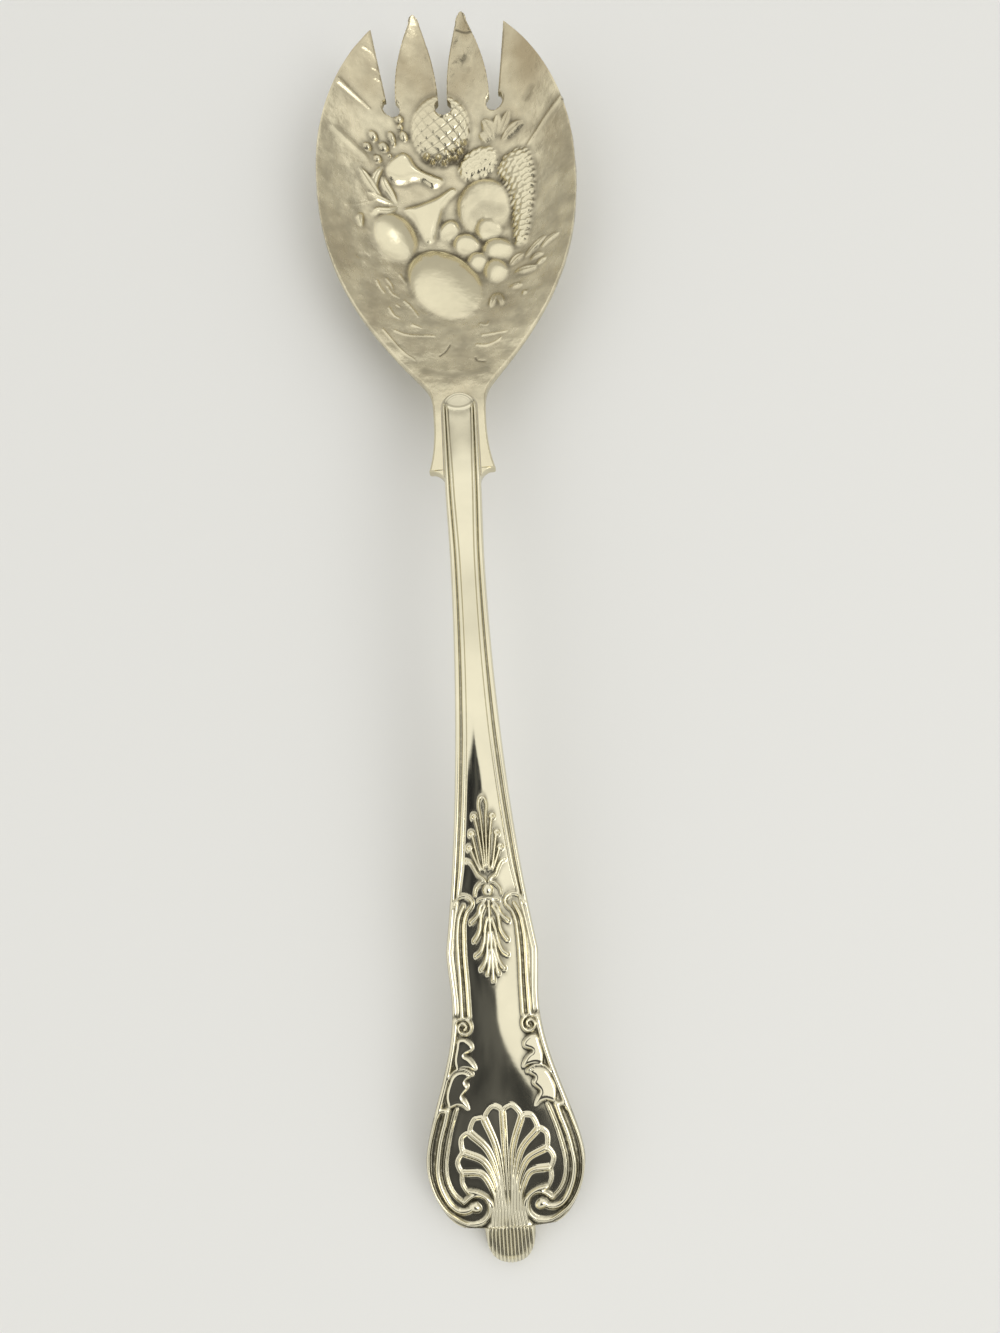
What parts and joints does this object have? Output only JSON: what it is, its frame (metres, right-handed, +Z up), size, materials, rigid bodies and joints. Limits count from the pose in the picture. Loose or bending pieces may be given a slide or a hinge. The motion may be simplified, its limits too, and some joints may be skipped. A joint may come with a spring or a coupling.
{
  "type": "berry fork",
  "caption": "Serving fork with a broad embossed fruit bowl ending in tines, soldered to an arched, reeded handle with a scroll and shell end.",
  "frame": {"origin": "centre of the bottom of the fork's box, on the surface that it lies on", "axes": "+Y along the fork towards the tines, +X to the right seen from above with the tines away, +Z up out of the hollow of the bowl"},
  "size_m": [0.0492, 0.2242, 0.0212],
  "materials": {
    "bowl_silver": "dull, warm silver plate with a thin gilt wash and dark patina between the embossed fruit",
    "handle_silver": "polished silver plate, darkened in the recesses of the struck ornament",
    "solder": "silver solder, hidden in the lap"
  },
  "bodies": {
    "root": {"bowl": "bowl_silver", "handle": "handle_silver", "solder_film": "solder"}
  },
  "joints": []
}
